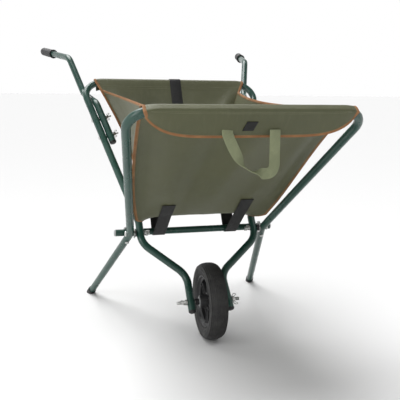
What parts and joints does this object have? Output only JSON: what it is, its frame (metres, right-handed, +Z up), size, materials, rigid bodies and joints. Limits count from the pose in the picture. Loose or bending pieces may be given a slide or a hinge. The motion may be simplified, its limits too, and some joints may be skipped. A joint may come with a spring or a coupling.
{
  "type": "folding garden wheelbarrow",
  "caption": "Folding garden wheelbarrow: crossed bent-tube frames that turn on two pivot bolts, a small front wheel, two push handles and a canvas bag.",
  "frame": {"origin": "on the ground, under the middle of the whole object's box", "axes": "+X to the user's right, +Y from the wheel towards the handles, +Z up"},
  "size_m": [0.8502, 1.3632, 0.8567],
  "materials": {
    "frame_paint": "dark green powder coat, semi-gloss",
    "steel": "zinc plated",
    "rubber": "moulded, satin",
    "tyre": "solid rubber, matte",
    "black_plastic": "moulded, satin",
    "grey_plastic": "moulded, satin",
    "canvas": "coated olive canvas, fine weave",
    "piping": "orange-brown bound edge",
    "olive_webbing": "flat woven webbing",
    "black_webbing": "flat woven webbing"
  },
  "bodies": {
    "wheel_frame": {"wheel_frame_tube": "frame_paint", "handle_tube_left": "frame_paint", "handle_tube_right": "frame_paint", "handle_grip_left": "rubber", "handle_grip_right": "rubber", "handle_end_cap_left": "black_plastic", "handle_end_cap_right": "black_plastic", "fork_plug_left": "black_plastic", "fork_plug_right": "black_plastic", "axle_wing_nut_left": "steel", "axle_wing_nut_right": "steel", "hub_spacer_left": "black_plastic", "hub_spacer_right": "black_plastic", "bag_side_left": "canvas", "bag_side_right": "canvas", "handle_spacer_upper_left": "black_plastic", "handle_spacer_upper_right": "black_plastic", "handle_spacer_lower_left": "black_plastic", "handle_spacer_lower_right": "black_plastic", "handle_bolt_upper_left": "steel", "handle_bolt_upper_right": "steel", "handle_bolt_lower_left": "steel", "handle_bolt_lower_right": "steel", "handle_wing_nut_upper_left": "steel", "handle_wing_nut_upper_right": "steel", "handle_wing_nut_lower_left": "steel", "handle_wing_nut_lower_right": "steel", "axle_rod": "steel", "bag_rear_panel": "canvas", "bag_floor": "canvas", "rear_rim_strap": "black_webbing"},
    "leg_frame": {"leg_frame_tube": "frame_paint", "crossbar_tube": "frame_paint", "bag_front_panel": "canvas", "flap_patch": "black_webbing", "pull_strap": "olive_webbing", "foot_cap_left": "rubber", "foot_cap_right": "rubber", "crossbar_plug_left": "grey_plastic", "crossbar_plug_right": "grey_plastic", "crossbar_bolt_left": "steel", "crossbar_bolt_right": "steel", "crossbar_nut_left": "steel", "crossbar_nut_right": "steel", "pivot_bolt_left": "steel", "pivot_bolt_right": "steel", "pivot_washer_left": "steel", "pivot_washer_right": "steel", "pivot_spacer_left": "black_plastic", "pivot_spacer_right": "black_plastic", "pivot_wing_nut_left": "steel", "pivot_wing_nut_right": "steel", "bottom_strap_left": "black_webbing", "bottom_strap_right": "black_webbing"},
    "wheel": {"tyre": "tyre", "wheel_rim": "black_plastic", "wheel_bearing_left": "grey_plastic", "wheel_bearing_right": "grey_plastic"}
  },
  "joints": [
    {"name": "fold", "type": "hinge", "parent": "wheel_frame", "child": "leg_frame", "pos_m": [0, -0.205, 0.284], "axis": [1, 0, 0], "range_deg": [-86, 0], "deforming": ["bag_front_panel", "bag_rear_panel", "bag_side_left", "bag_side_right", "bag_floor", "pull_strap", "bottom_strap_left", "bottom_strap_right", "rear_rim_strap", "flap_patch"]},
    {"name": "wheel_spin", "type": "hinge", "parent": "wheel_frame", "child": "wheel", "pos_m": [0, -0.341, 0.109], "axis": [1, 0, 0], "continuous": true}
  ]
}
